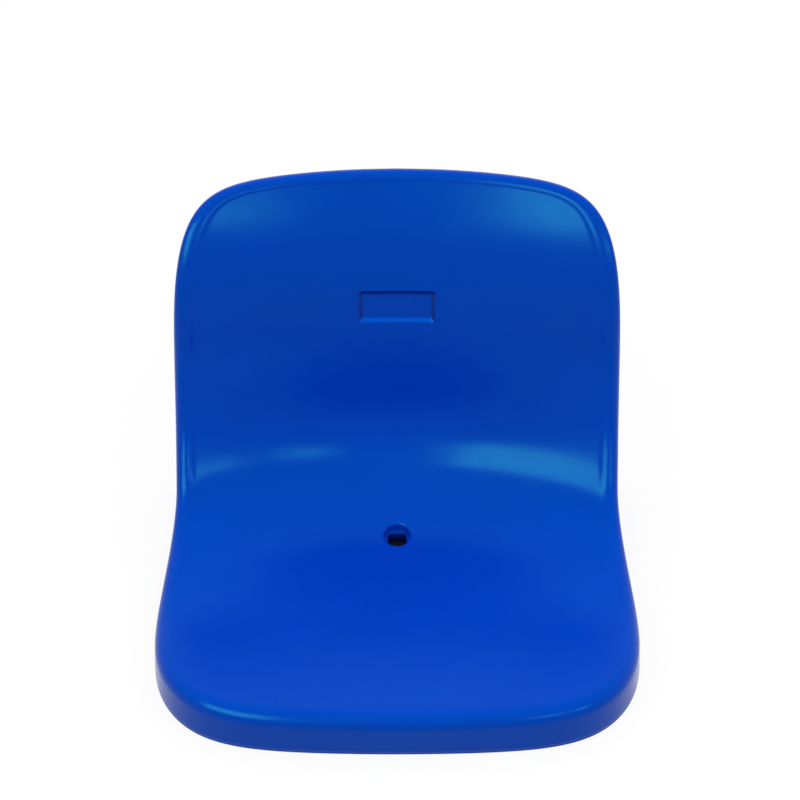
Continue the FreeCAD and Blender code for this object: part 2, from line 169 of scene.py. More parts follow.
# How finely the mesh follows the form. Rings are offsets from the edge that
# they go round.
LINE_STEPS = 6000
OUTLINE_STEPS = 24000
AROUND = 440
REAR_TURNS = (90.0, 72.0, 54.0, 36.0, 18.0, 0.0)
SEAM_ROWS = ((0.35, 0.0), (0.55, 0.7), (0.75, 1.0), (0.95, 0.7), (1.15, 0.0))
WALL_SHARES = (0.86, 0.7, 0.5, 0.3, 0.12)
FRONT_TURNS = np.linspace(0.0, 90.0, 15)
CREASE_RINGS = (0.6, 1.2, 1.9, 2.6, 3.3, 4.0, 4.6, 5.6, 7.5, 10.0)
REAR_INSETS = (5.6, 7.2, 9.0, 10.0, 11.0, 12.0, 13.0, 14.0, 15.0, 16.0, 18.0, 21.0)
DRAIN_COUNT = 96
MOUTH_TURNS = (75.0, 62.0, 50.0, 38.0, 26.0, 13.0, 0.0)
MOUTH_RINGS = (0.8, 2.0, 4.0, 7.0)
FILLET_SHARES = ((0.16, 0.44), (0.6, 0.08))
POCKET_RINGS = (1.4, 3.5, 6.5)
POCKET_MARGIN = 0.4
POCKET_MIDDLE = 9.0
POCKET_END = 0.5
PLATE_RINGS = (-6.0, -3.0, -1.2, -0.4, 0.0, 0.4, 0.9, 1.5, 2.1, 2.7,
               3.3, 3.8, 4.2, 4.6, 5.4, 6.4, 8.0)
PLATE_CORNER_STEPS = 5
PLATE_STEPS_ACROSS = 24
PLATE_STEPS_ALONG = 11
FLANGE_RINGS = (0.0, 0.12, -0.25)
PAD_RINGS = (-6.5, -3.5, -0.6, -0.2, 0.1, 0.5, 1.0, 2.5, 5.5)
PAD_COUNT = 56
PLUG_RADII = (2.5, 5.0, 7.5, 7.9, 8.05, 8.4, 9.4, 11.5, 15.0)
PLUG_COUNT = 40
DIMPLE_RADII = (1.5, 3.5, 5.0, 5.6, 6.2, 7.0, 8.5, 10.0,
                11.5, 12.5, 13.2, 14.0, 14.8, 16.0, 18.5, 22.0)
DIMPLE_COUNT = 48
INSERT_COUNT = 48
GRID_REACH = 216.0
FRONT_GRID = 4.0
REAR_GRID = 4.6
GRID_CLEAR = 2.2
GRID_MARGIN = 1.5
UNDER_STEPS = 2000
MERGE_GAP = 1e-6


def smooth(t):
    t = np.clip(t, 0.0, 1.0)
    return t * t * (3.0 - 2.0 * t)


def angle_at(s):
    bend = smooth((s - PAN_LENGTH) / BEND_LENGTH)
    curl = smooth((s - CURL_START) / CURL_LENGTH)
    return np.radians(PAN_SLOPE + (BACK_ANGLE_LOW - PAN_SLOPE) * bend
                      + (BACK_ANGLE_TOP - BACK_ANGLE_LOW) * curl)


# Middle line by summing short steps, kept for look-up.
STEP = SKIN_LENGTH / LINE_STEPS
LINE_S = np.arange(LINE_STEPS + 1) * STEP
MID_ANGLE = angle_at(LINE_S[:-1] + STEP / 2.0)
LINE_Y = np.concatenate([[0.0], np.cumsum(STEP * np.cos(MID_ANGLE))])
LINE_Z = np.concatenate([[0.0], np.cumsum(STEP * np.sin(MID_ANGLE))]) + PAN_HEIGHT


def middle(s):
    over = s - np.clip(s, 0.0, SKIN_LENGTH)
    a = angle_at(s)
    return (np.interp(s, LINE_S, LINE_Y) + over * np.cos(a),
            np.interp(s, LINE_S, LINE_Z) + over * np.sin(a))


def half_width(s):
    t = smooth((s - TAPER_START) / (TAPER_END - TAPER_START))
    return FRONT_HALF_WIDTH + (BACK_HALF_WIDTH - FRONT_HALF_WIDTH) * t


def dish(x, s):
    d = DISH_FRONT + (DISH_PAN - DISH_FRONT) * smooth(s / DISH_PAN_END)
    d = d + (DISH_BEND - DISH_PAN) * smooth((s - DISH_PAN_END) / (DISH_BEND_AT - DISH_PAN_END))
    d = d + (DISH_BACK - DISH_BEND) * smooth((s - DISH_BEND_AT) / (DISH_BACK_AT - DISH_BEND_AT))
    return d * (np.abs(x) / half_width(s)) ** DISH_POWER


def heel_share(s):
    return smooth((s - HEEL_START) / (HEEL_END - HEEL_START))


def top_share(s):
    return smooth((s - HEEL_END) / (SKIN_LENGTH - HEEL_END))


def body_depth(x, s):
    # Depth from the front skin to the rear skin. Under the pan it reaches down
    # to the base plane, and behind the back it thins out towards the top.
    to_base = middle(s)[1] / np.maximum(np.cos(angle_at(s)), 0.25)
    thickness = BACK_THICKNESS + (TOP_THICKNESS - BACK_THICKNESS) * top_share(s)
    flat = 1.0 - smooth((s - HEEL_START) / (WRAP_END - HEEL_START))
    k = heel_share(s)
    return (1.0 - k) * to_base + k * thickness + flat * dish(x, s)


def round_across(nx, ns):
    end = np.where(ns < 0.0, FRONT_ROUND_ACROSS, TOP_ROUND_ACROSS)
    return SIDE_ROUND_ACROSS * nx * nx + end * ns * ns


def round_down(s):
    return EDGE_ROUND_DOWN + (TOP_ROUND_DOWN - EDGE_ROUND_DOWN) * top_share(s)


def rear_round(s):
    return PAN_REAR_ROUND + (BACK_REAR_ROUND - PAN_REAR_ROUND) * heel_share(s)


def crease(beyond, s):
    # Drop of the front skin at a distance inside the rounded edge.
    drop = CREASE_DROP * smooth((s - CREASE_START) / (CREASE_FULL - CREASE_START))
    return drop * smooth(beyond / CREASE_WIDTH)


def raw_point(x, s, depth):
    y, z = middle(s)
    a = angle_at(s)
    up = dish(x, s) - depth
    return np.stack([x + 0.0 * y, y - np.sin(a) * up, z + np.cos(a) * up], axis=-1)


def outline(count):
    # Closed outline in the flat plan, evenly spaced, with outward directions.
    t = np.linspace(-math.pi / 2, 1.5 * math.pi, OUTLINE_STEPS + 1)
    c, n = np.cos(t), np.sin(t)
    front = n < 0.0
    u = np.sign(c) * np.abs(c) ** (2.0 / np.where(front, FRONT_POWER_ACROSS, TOP_POWER_ACROSS))
    v = np.sign(n) * np.abs(n) ** (2.0 / np.where(front, FRONT_POWER_ALONG, TOP_POWER_ALONG))
    crown = np.where(front, FRONT_CROWN, TOP_CROWN)
    s = SKIN_LENGTH / 2.0 * (1.0 + v) - crown * u * u * v
    x = u * half_width(s)
    x[0] = x[-1] = 0.0
    run = np.concatenate([[0.0], np.cumsum(np.hypot(np.diff(x), np.diff(s)))])
    at = np.linspace(0.0, run[-1], count + 1)[:-1]
    px, ps = np.interp(at, run, x), np.interp(at, run, s)
    dx = np.roll(px, -1) - np.roll(px, 1)
    ds = np.roll(ps, -1) - np.roll(ps, 1)
    length = np.hypot(dx, ds)
    return px, ps, ds / length, -dx / length


# Outline with its edge sizes, as arrays that every ring starts from.
OX, OS, ONX, ONS = outline(AROUND)
ACROSS = round_across(ONX, ONS)
DOWN = round_down(OS)
REAR_ROUND = rear_round(OS)
RUN = body_depth(OX, OS) - REAR_ROUND - DOWN


def raw_ring(inset, depth_of):
    px, ps = OX - ONX * inset, OS - ONS * inset
    return raw_point(px, ps, depth_of(px, ps))


def rear_edge_ring(turn):
    a = math.radians(turn)
    inset = REAR_ROUND * (1.0 - math.cos(a)) - WALL_DRAFT * RUN
    return raw_ring(inset, lambda x, s: body_depth(x, s) - REAR_ROUND * (1.0 - math.sin(a)))


# Shift that puts the origin in the middle of the depth.
SECTION = np.concatenate([rear_edge_ring(t) for t in (0.0, 22.0, 45.0, 67.0, 90.0)])
Y_SHIFT = -(SECTION[:, 1].min() + SECTION[:, 1].max()) / 2.0
SHIFT = np.array([0.0, Y_SHIFT, 0.0])


def point(x, s, depth):
    return raw_point(x, s, depth) + SHIFT


def ring(inset, depth_of):
    return raw_ring(inset, depth_of) + SHIFT


def circle(cx, cs, radius, count):
    a = np.linspace(0.0, 2.0 * math.pi, count, endpoint=False)
    return np.stack([cx + radius * np.cos(a), cs + radius * np.sin(a)], axis=-1)


def plate_ring(offset):
    # Rounded rectangle around the floor of the plate recess.
    radius = max(PLATE_CORNER_LEAST, PLATE_CORNER + offset)
    reach_x = PLATE_WIDTH / 2.0 + offset - radius
    reach_s = PLATE_HEIGHT / 2.0 + offset - radius
    corners = []
    for qx, qs, start in ((1, -1, -90.0), (1, 1, 0.0), (-1, 1, 90.0), (-1, -1, 180.0)):
        corner = []
        for i in range(PLATE_CORNER_STEPS + 1):
            a = math.radians(start + 90.0 * i / PLATE_CORNER_STEPS)
            corner.append((qx * reach_x + radius * math.cos(a),
                           PLATE_STATION + qs * reach_s + radius * math.sin(a)))
        corners.append(corner)
    pts = []
    for k, corner in enumerate(corners):
        pts += corner
        (x0, s0), (x1, s1) = corner[-1], corners[(k + 1) % 4][0]
        steps = PLATE_STEPS_ACROSS if k % 2 else PLATE_STEPS_ALONG
        pts += [(x0 + i / steps * (x1 - x0), s0 + i / steps * (s1 - s0)) for i in range(1, steps)]
    return np.array(pts)


def inside(points, loop):
    # Winding test of many points against one closed loop.
    x, y = points[:, 0][:, None], points[:, 1][:, None]
    x0, y0 = loop[:, 0][None], loop[:, 1][None]
    x1, y1 = np.roll(loop[:, 0], -1)[None], np.roll(loop[:, 1], -1)[None]
    crosses = (y0 <= y) != (y1 <= y)
    with np.errstate(divide="ignore", invalid="ignore"):
        at = x0 + (y - y0) / (y1 - y0) * (x1 - x0)
    return (np.sum(crosses & (x < at), axis=1) % 2) == 1


def triangulate(boundary, hole, loops, grid):
    # Triangles over the plan inside the boundary and outside the hole, with
    # every loop kept as edges. Grid points too near a loop are left out.
    # Each point also gets its number in the input, or -1 if it is new.
    rings = [boundary, hole] + loops
    keep = inside(grid, boundary)
    for loop in rings:
        low, high = loop.min(axis=0) - GRID_CLEAR, loop.max(axis=0) + GRID_CLEAR
        near = np.nonzero(np.all((grid > low) & (grid < high), axis=1) & keep)[0]
        if len(near):
            gap = np.hypot(grid[near, 0][:, None] - loop[:, 0][None],
                           grid[near, 1][:, None] - loop[:, 1][None]).min(axis=1)
            keep[near[gap < GRID_CLEAR]] = False
    keep &= ~inside(grid, hole)
    edges = []
    base = 0
    for loop in rings:
        n = len(loop)
        edges += [(base + i, base + (i + 1) % n) for i in range(n)]
        base += n
    points = [Vector(p) for p in np.concatenate(rings + [grid[keep]])]
    out = delaunay_2d_cdt(points, edges, [], 0, MERGE_GAP, True)
    verts = np.array([(v.x, v.y) for v in out[0]])
    faces = np.array([tuple(f) for f in out[2]])
    source = [o[0] if o else -1 for o in out[3]]
    centre = verts[faces].mean(axis=1)
    good = inside(centre, boundary) & ~inside(centre, hole)
    return verts, faces[good], source


class Builder:
    # Points and faces of one mesh, gathered ring by ring.
    def __init__(self):
        self.verts = []
        self.faces = []
        self.count = 0

    def add(self, points):
        start = self.count
        self.verts.append(np.asarray(points, dtype=float))
        self.count += len(points)
        return np.arange(start, self.count)

    def points_of(self, ids):
        return np.concatenate(self.verts)[ids]

    def strip(self, a, b):
        n = len(a)
        for i in range(n):
            j = (i + 1) % n
            self.faces.append((int(a[i]), int(a[j]), int(b[j]), int(b[i])))

    def cap(self, a):
        self.faces.append(tuple(int(i) for i in a))


def grid_points(step):
    xs = np.arange(-GRID_REACH, GRID_REACH + 0.1, step)
    ss = np.arange(0.0, SKIN_LENGTH + 1.0, step)
    gx, gs = np.meshgrid(xs, ss)
    return np.stack([gx.ravel(), gs.ravel()], axis=-1)


def join_region(mesh, pos, faces, source, first):
    # Adds a triangulated region. Its first loop is the ring that already
    # exists, so those points are not added twice.
    ids = np.full(len(pos), -1)
    by_source = {}
    for i, o in enumerate(source):
        if o >= 0:
            by_source.setdefault(o, i)
    for k in range(len(first)):
        ids[by_source[k]] = first[k]
    rest = np.nonzero(ids < 0)[0]
    ids[rest] = mesh.add(pos[rest])
    for f in faces:
        mesh.faces.append(tuple(int(ids[i]) for i in f))
    return np.array([ids[by_source[o]] for o in sorted(by_source)])


def soft_max(a, b, k):
    h = np.clip(0.5 + 0.5 * (a - b) / k, 0.0, 1.0)
    return b * (1 - h) + a * h + k * h * (1 - h)


def soft_min(a, b, k):
    h = np.clip(0.5 + 0.5 * (b - a) / k, 0.0, 1.0)
    return b * (1 - h) + a * h - k * h * (1 - h)


def under_station(y):
    # Station whose line straight through the skin comes out at y on the
    # raised field of the underside.
    s = np.linspace(0.0, HEEL_START, UNDER_STEPS)
    py, pz = middle(s)
    out = py + np.tan(angle_at(s)) * (pz - FOOT_HEIGHT) + Y_SHIFT
    return np.interp(y, out, s)


def under_circle(cx, cy, radius, count):
    pts = circle(cx, cy, radius, count)
    return np.stack([pts[:, 0], under_station(pts[:, 1])], axis=-1)


def insert_spots():
    return [(sx * INSERT_SPACING_X / 2.0, INSERT_CENTRE_Y + sy * INSERT_SPACING_Y / 2.0)
            for sx in (-1, 1) for sy in (-1, 1)]


def square_ring(grow, count):
    # Rounded square about the axis, one point on each ray of a circle.
    a = np.linspace(0.0, 2.0 * math.pi, count, endpoint=False)
    c, n = np.abs(np.cos(a)), np.abs(np.sin(a))
    half = DRAIN_SQUARE / 2.0 + grow
    corner = DRAIN_SQUARE_CORNER + grow
    core = half - corner
    straight = half / np.maximum(c, n)
    b = core * (c + n)
    curved = b + np.sqrt(np.maximum(b * b - 2.0 * core * core + corner * corner, 0.0))
    radius = np.where(straight * np.minimum(c, n) <= core, straight, curved)
    return np.stack([radius * np.cos(a), radius * np.sin(a)], axis=-1)


def rim(mesh):
    # Rounded rear edge, seam, side wall, rounded front edge and crease.
    rings = [rear_edge_ring(turn) + SHIFT for turn in REAR_TURNS]
    for rise, groove in SEAM_ROWS:
        share = 1.0 - rise * SEAM_WIDTH / RUN
        inset = groove * SEAM_DEPTH - WALL_DRAFT * RUN * share
        rings.append(ring(inset, lambda x, s: DOWN + RUN * share))
    for share in WALL_SHARES:
        rings.append(ring(-WALL_DRAFT * RUN * share, lambda x, s: DOWN + RUN * share))
    for turn in FRONT_TURNS:
        a = math.radians(turn)
        rings.append(ring(ACROSS * (1.0 - math.cos(a)), lambda x, s: DOWN * (1.0 - math.sin(a))))
    for beyond in CREASE_RINGS:
        rings.append(ring(ACROSS + beyond, lambda x, s: crease(beyond, s)))
    ids = [mesh.add(r) for r in rings]
    for a, b in zip(ids, ids[1:]):
        mesh.strip(a, b)
    return ids[0], ids[-1]


def mouth_fall(r):
    # Drop of the rounded mouth of the drain at a distance from its axis.
    k = DRAIN_EDGE_ROUND
    inner = np.clip(DRAIN_RADIUS + k - r, 0.0, k)
    return k - np.sqrt(k * k - inner * inner)


def plate_frame():
    # Middle of the plate recess on the skin, with its directions up the back
    # and straight out of it.
    a = float(angle_at(np.array(PLATE_STATION)))
    origin = point(0.0, PLATE_STATION, crease(CREASE_WIDTH, PLATE_STATION))
    along = np.array([0.0, math.cos(a), math.sin(a)])
    out = np.array([0.0, -math.sin(a), math.cos(a)])
    return origin, along, out


def past_plate(x, v):
    # How far a place lies past the floor of the plate recess, both ways.
    return np.abs(x) - PLATE_WIDTH / 2.0, np.abs(v) - PLATE_HEIGHT / 2.0


def front_skin(mesh, front_edge):
    # Front skin inside the crease, down into the drain's mouth and the recess.
    beyond = CREASE_RINGS[-1]
    boundary = np.stack([OX - ONX * (ACROSS + beyond), OS - ONS * (ACROSS + beyond)], axis=-1)
    edge = DRAIN_RADIUS + DRAIN_EDGE_ROUND
    radii = list(DRAIN_RADIUS + DRAIN_EDGE_ROUND * (1.0 - np.sin(np.radians(MOUTH_TURNS))))
    radii += [edge + more for more in MOUTH_RINGS]
    loops = [circle(0.0, DRAIN_STATION, r, DRAIN_COUNT) for r in radii]
    loops += [plate_ring(offset) for offset in PLATE_RINGS]
    hole = circle(0.0, DRAIN_STATION, DRAIN_RADIUS, DRAIN_COUNT)
    grid = grid_points(FRONT_GRID)
    keep = np.hypot(grid[:, 0], grid[:, 1] - DRAIN_STATION) > radii[-1] + 2.0
    past = np.maximum(*past_plate(grid[:, 0], grid[:, 1] - PLATE_STATION))
    keep &= (past > PLATE_RINGS[-1] + 1.0) | (past < PLATE_RINGS[0] - GRID_MARGIN)
    verts, faces, source = triangulate(boundary, hole, loops, grid[keep])
    x, s = verts[:, 0], verts[:, 1]
    pos = point(x, s, crease(CREASE_WIDTH, s))
    # The drain is round seen from above, so near it y follows the radius.
    centre = point(0.0, DRAIN_STATION, 0.0)
    r = np.hypot(x, s - DRAIN_STATION)
    pos[:, 2] -= mouth_fall(r)
    w = smooth((edge + DRAIN_BLEND - r) / DRAIN_BLEND)
    pos[:, 1] = pos[:, 1] * (1.0 - w) + (centre[1] + s - DRAIN_STATION) * w
    # The recess has a flat floor and sloping walls.
    origin, along, out = plate_frame()
    qx, qs = past_plate(x, s - PLATE_STATION)
    past = np.where((qx > 0) & (qs > 0), np.hypot(qx, qs), np.maximum(qx, qs))
    floor = origin + x[:, None] * np.array([1.0, 0.0, 0.0])
    floor = floor + (s - PLATE_STATION)[:, None] * along - PLATE_DEPTH * out
    w = 1.0 - smooth((past + PLATE_EASE) / (PLATE_DRAFT + 2.0 * PLATE_EASE))
    pos = pos * (1.0 - w[:, None]) + floor * w[:, None]
    ids = join_region(mesh, pos, faces, source, front_edge)
    return ids[len(boundary):len(boundary) + DRAIN_COUNT], centre


def drain(mesh, mouth, centre):
    # Recess wall, floor, square hole, and the pocket below the floor.
    floor = centre[2] - DRAIN_DEPTH
    under = floor - DRAIN_FLOOR
    mouth_z = mesh.points_of(mouth)[:, 2]
    unit = circle(0.0, 0.0, 1.0, DRAIN_COUNT)
    wall = unit * DRAIN_RADIUS
    pocket = unit * DRAIN_POCKET_RADIUS
    square = square_ring(0.0, DRAIN_COUNT)
    wide = square_ring(SQUARE_BREAK, DRAIN_COUNT)
    rows = []
    for share in (0.3, 0.6, 0.85, 1.0):
        rows.append((wall, mouth_z + (floor + DRAIN_FILLET - mouth_z) * share))
    for inward, upward in FILLET_SHARES:
        rows.append((wall - unit * inward * DRAIN_FILLET, floor + upward * DRAIN_FILLET))
    rows += [
        (0.5 * (wall - unit * 0.8 * DRAIN_FILLET + wide), floor),
        (wide, floor),
        (square_ring(0.08, DRAIN_COUNT), floor - 0.1),
        (square, floor - SQUARE_ROUND),
        (square, under + SQUARE_BREAK),
        (wide, under),
        (pocket - unit * POCKET_BREAK, under),
        (pocket, under - POCKET_BREAK),
        (pocket, POCKET_MIDDLE),
        (pocket, FOOT_HEIGHT + POCKET_END),
    ]
    last = mouth
    for plan, z in rows:
        new = mesh.add(np.stack([plan[:, 0], centre[1] + plan[:, 1],
                                 np.broadcast_to(z, DRAIN_COUNT)], axis=-1))
        mesh.strip(last, new)
        last = new
    return last


def foot(mesh, edge):
    # Narrow foot inside the rear edge, then the step up to the raised field.
    last = edge
    for inset in REAR_INSETS:
        lift = FOOT_HEIGHT * smooth((inset - FOOT_WIDTH) / FOOT_BLEND)
        new = mesh.add(ring(inset, lambda x, s: body_depth(x, s) - lift))
        mesh.strip(new, last)
        last = new
    return last


def dimple_spots():
    # Places of the dimples as x, s and, under the pan, y.
    spots = []
    for side in (-1, 1):
        spots += [(side * cx, float(under_station(cy)), cy) for cx, cy in PAN_DIMPLES]
        spots += [(side * cx, cs, None) for cx, cs in BACK_DIMPLES]
    return spots


def flange_ring(cx, cy, grow):
    # Hexagon of an insert's flange on the raised field.
    corner = INSERT_FLANGE_FLATS / 2.0 / math.cos(math.radians(30.0)) + grow
    corners = circle(cx, cy, corner, 6)
    pts = np.array([corners[i] * (1.0 - f) + corners[(i + 1) % 6] * f
                    for i in range(6) for f in (0.0, 0.25, 0.5, 0.75)])
    return np.stack([pts[:, 0], under_station(pts[:, 1])], axis=-1)


def rear_loops(drain_y):
    # Rings around all that is raised or sunk in the rear skin, and the disks
    # that the plain grid keeps clear of.
    loops = [under_circle(0.0, drain_y, DRAIN_POCKET_RADIUS + more, DRAIN_COUNT)
             for more in POCKET_RINGS]
    pocket_clear = DRAIN_POCKET_RADIUS + POCKET_RINGS[-1] + GRID_MARGIN
    disks = [(0.0, float(under_station(drain_y)), pocket_clear),
             (0.0, float(under_station(PLUG_Y)), PLUG_RADII[-1] + GRID_MARGIN)]
    for cx, cy in insert_spots():
        loops += [flange_ring(cx, cy, grow) for grow in FLANGE_RINGS]
        loops += [under_circle(cx, cy, PAD_RADIUS + more, PAD_COUNT) for more in PAD_RINGS]
        disks.append((cx, float(under_station(cy)), PAD_RADIUS + PAD_RINGS[-1] + GRID_MARGIN))
    loops += [under_circle(0.0, PLUG_Y, r, PLUG_COUNT) for r in PLUG_RADII]
    for cx, cs, cy in dimple_spots():
        for r in DIMPLE_RADII:
            loops.append(circle(cx, cs, r, DIMPLE_COUNT) if cy is None
                         else under_circle(cx, cy, r, DIMPLE_COUNT))
        disks.append((cx, cs, DIMPLE_RADII[-1] + GRID_MARGIN))
    return loops, disks


def rear_lift(x, s, y):
    # Height of the rear skin above the plane of the foot.
    lift = np.full(len(x), FOOT_HEIGHT)
    for cx, cs, cy in dimple_spots():
        r = np.hypot(x - cx, s - cs) if cy is None else np.hypot(x - cx, y - cy)
        reach = float(body_depth(abs(cx), cs) - crease(CREASE_WIDTH, cs) - DIMPLE_SKIN)
        slope = reach / (DIMPLE_MOUTH_RADIUS - DIMPLE_FLOOR_RADIUS)
        cone = np.minimum((DIMPLE_MOUTH_RADIUS - r) * slope, reach)
        up = soft_max(cone, FOOT_HEIGHT, DIMPLE_MOUTH_EASE)
        near_floor = r < DIMPLE_FLOOR_RADIUS + 2.0
        up = np.where(near_floor, soft_min(up, reach, DIMPLE_FLOOR_EASE), up)
        lift = np.where(r < DIMPLE_RADII[-1] + 1.0, up, lift)
    for cx, cy in insert_spots():
        r = np.hypot(x - cx, y - cy)
        pad = FOOT_HEIGHT * smooth((r - PAD_RADIUS + 0.4) / PAD_EDGE)
        lift = np.where(r < PAD_RADIUS + 2.0, pad, lift)
        turn = np.abs(np.mod(np.degrees(np.arctan2(y - cy, x - cx)), 60.0) - 30.0)
        in_socket = r * np.cos(np.radians(turn)) < INSERT_FLANGE_FLATS / 2.0 - 0.05
        lift = np.where(in_socket, INSERT_FLANGE_HEIGHT + SOCKET_FLOOR, lift)
    on_seat = np.hypot(x, y - PLUG_Y) < PLUG_SEAT_RADIUS
    return np.where(on_seat, FOOT_HEIGHT + PLUG_SEAT_DEPTH, lift)


def rear_skin(mesh, rear_edge, drain_low, drain_y):
    # Rear skin with pads, insert sockets, plug seat and tack-off dimples.
    inset = REAR_INSETS[-1]
    boundary = np.stack([OX - ONX * inset, OS - ONS * inset], axis=-1)
    hole = under_circle(0.0, drain_y, DRAIN_POCKET_RADIUS + POCKET_MARGIN, DRAIN_COUNT)
    loops, disks = rear_loops(drain_y)
    grid = grid_points(REAR_GRID)
    keep = np.full(len(grid), True)
    for cx, cs, radius in disks:
        keep &= np.hypot(grid[:, 0] - cx, grid[:, 1] - cs) > radius
    verts, faces, source = triangulate(boundary, hole, loops, grid[keep])
    x, s = verts[:, 0], verts[:, 1]
    total = body_depth(x, s)
    flat = point(x, s, total - FOOT_HEIGHT)
    pos = point(x, s, total - rear_lift(x, s, flat[:, 1]))
    # Walls of cones and sockets stand straight up under the pan.
    under = s < HEEL_START
    pos[under, 1] = flat[under, 1]
    ids = join_region(mesh, pos, faces[:, ::-1], source, rear_edge)
    mesh.strip(drain_low, ids[len(boundary):len(boundary) + DRAIN_COUNT])


def seat_mesh():
    mesh = Builder()
    rear_start, front_edge = rim(mesh)
    mouth, centre = front_skin(mesh, front_edge)
    drain_low = drain(mesh, mouth, centre)
    rear_edge = foot(mesh, rear_start)
    rear_skin(mesh, rear_edge, drain_low, centre[1])
    return mesh


def make_object(name, mesh):
    # Blender object in metres, with pairs of flat triangles joined to quads.
    data = bpy.data.meshes.new(name)
    verts = np.concatenate(mesh.verts) / MM_PER_METRE
    data.from_pydata([tuple(v) for v in verts], [], mesh.faces)
    data.validate()
    obj = bpy.data.objects.new(name, data)
    bpy.context.scene.collection.objects.link(obj)
    bm = bmesh.new()
    bm.from_mesh(data)
    bmesh.ops.join_triangles(bm, faces=bm.faces, angle_face_threshold=0.2,
                             angle_shape_threshold=0.6)
    bmesh.ops.recalc_face_normals(bm, faces=bm.faces)
    loose = [v for v in bm.verts if not v.link_faces]
    bmesh.ops.delete(bm, geom=loose, context="VERTS")
    bm.to_mesh(data)
    bm.free()
    for p in data.polygons:
        p.use_smooth = True
    return obj


def insert_mesh(cx, cy):
    # Hexagonal flange, round neck and hexagonal head, with a threaded bore.
    mesh = Builder()
    a = np.linspace(0.0, 2.0 * math.pi, INSERT_COUNT, endpoint=False)
    unit = np.stack([np.cos(a), np.sin(a)], axis=-1)
    fold = np.abs(np.mod(np.degrees(a), 60.0) - 30.0)

    def hexa(flats):
        return unit * (flats / 2.0 / np.cos(np.radians(fold)))[:, None]

    def row(plan, z):
        return mesh.add(np.stack([cx + plan[:, 0], cy + plan[:, 1],
                                  np.broadcast_to(z, INSERT_COUNT)], axis=-1))

    flange = hexa(INSERT_FLANGE_FLATS)
    neck = unit * INSERT_NECK_RADIUS
    head = hexa(INSERT_HEAD_FLATS)
    neck_top = INSERT_FLANGE_HEIGHT + INSERT_NECK_HEIGHT
    outer = [(head, INSERT_LENGTH), (head, neck_top), (neck, neck_top),
             (neck, INSERT_FLANGE_HEIGHT), (flange, INSERT_FLANGE_HEIGHT),
             (flange, INSERT_FLANGE_EDGE),
             (hexa(INSERT_FLANGE_FLATS - INSERT_FLANGE_BREAK), INSERT_FACE_GAP),
             (unit * (INSERT_MOUTH_RADIUS + INSERT_MOUTH_LAND), INSERT_FACE_GAP),
             (unit * INSERT_MOUTH_RADIUS, 2.0 * INSERT_FACE_GAP)]
    rows = [row(plan, z) for plan, z in outer]
    steps = int(INSERT_BORE_DEPTH / THREAD_PITCH * THREAD_STEPS_PER_TURN)
    for i in range(steps + 1):
        z = THREAD_START + i * (INSERT_BORE_DEPTH - THREAD_START - THREAD_END) / steps
        phase = np.mod(z / THREAD_PITCH - a / (2.0 * math.pi), 1.0)
        groove = THREAD_DEPTH * smooth(np.abs(phase - 0.5) * 2.4 - 0.1)
        open_up = np.maximum(INSERT_MOUTH_RADIUS - INSERT_BORE_RADIUS - z, 0.0)
        radius = INSERT_BORE_RADIUS + np.maximum(groove, open_up)
        rows.append(row(unit * radius[:, None], z))
    for one, two in zip(rows, rows[1:]):
        mesh.strip(two, one)
    mesh.cap(rows[0])
    mesh.cap(rows[-1][::-1])
    return mesh


body = make_object("seat_shell", seat_mesh())
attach(body, "root")
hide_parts("seat_body")

INSERT_NODES = ("threaded_insert_front_left", "threaded_insert_rear_left",
                "threaded_insert_front_right", "threaded_insert_rear_right")
SHARP_DEGREES = 35.0
inserts = []
for node, (spot_x, spot_y) in zip(INSERT_NODES, insert_spots()):
    piece = make_object("brass_" + node, insert_mesh(spot_x, spot_y))
    piece.data.set_sharp_from_angle(angle=math.radians(SHARP_DEGREES))
    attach(piece, "root")
    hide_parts(node)
    inserts.append(piece)


def node_tree(name):
    mat = bpy.data.materials.new(name)
    mat.use_nodes = True
    return mat, mat.node_tree, mat.node_tree.nodes["Principled BSDF"]


def noise(tree, vector, scale, detail):
    # Returns the factor of a noise whose features are about 1/scale metres.
    tex = tree.nodes.new("ShaderNodeTexNoise")
    tex.inputs["Scale"].default_value = scale
    tex.inputs["Detail"].default_value = detail
    tree.links.new(vector, tex.inputs["Vector"])
    return tex.outputs["Fac"]


def remap(tree, value, low, high, out_low, out_high):
    node = tree.nodes.new("ShaderNodeMapRange")
    node.inputs["From Min"].default_value = low
    node.inputs["From Max"].default_value = high
    node.inputs["To Min"].default_value = out_low
    node.inputs["To Max"].default_value = out_high
    tree.links.new(value, node.inputs["Value"])
    return node.outputs["Result"]


def math_node(tree, operation, a, b):
    node = tree.nodes.new("ShaderNodeMath")
    node.operation = operation
    for socket, value in zip(node.inputs, (a, b)):
        if isinstance(value, float):
            socket.default_value = value
        else:
            tree.links.new(value, socket)
    return node.outputs[0]


def blend(tree, factor, one, two):
    node = tree.nodes.new("ShaderNodeMix")
    node.data_type = "RGBA"
    tree.links.new(factor, node.inputs["Factor"])
    for socket, value in ((node.inputs["A"], one), (node.inputs["B"], two)):
        if isinstance(value, tuple):
            socket.default_value = (*value, 1.0)
        else:
            tree.links.new(value, socket)
    return node.outputs["Result"]


def bump(tree, height, distance, before=None):
    node = tree.nodes.new("ShaderNodeBump")
    node.inputs["Strength"].default_value = 1.0
    node.inputs["Distance"].default_value = distance
    tree.links.new(height, node.inputs["Height"])
    if before is not None:
        tree.links.new(before, node.inputs["Normal"])
    return node.outputs["Normal"]


# Painted shade and painted light in the plate recess, in millimetres: how far
# the painted shade and the painted light reach in on the floor, how far past the
# walls, how softly they end, and how near the recess a point has to be.
PAINTED_SHADE_REACH = 1.8
PAINTED_LIGHT_REACH = 0.4
WALL_OVERLAP = 0.4
LAYER_FADE = 1.2
LAYER_NEAR = 6.0


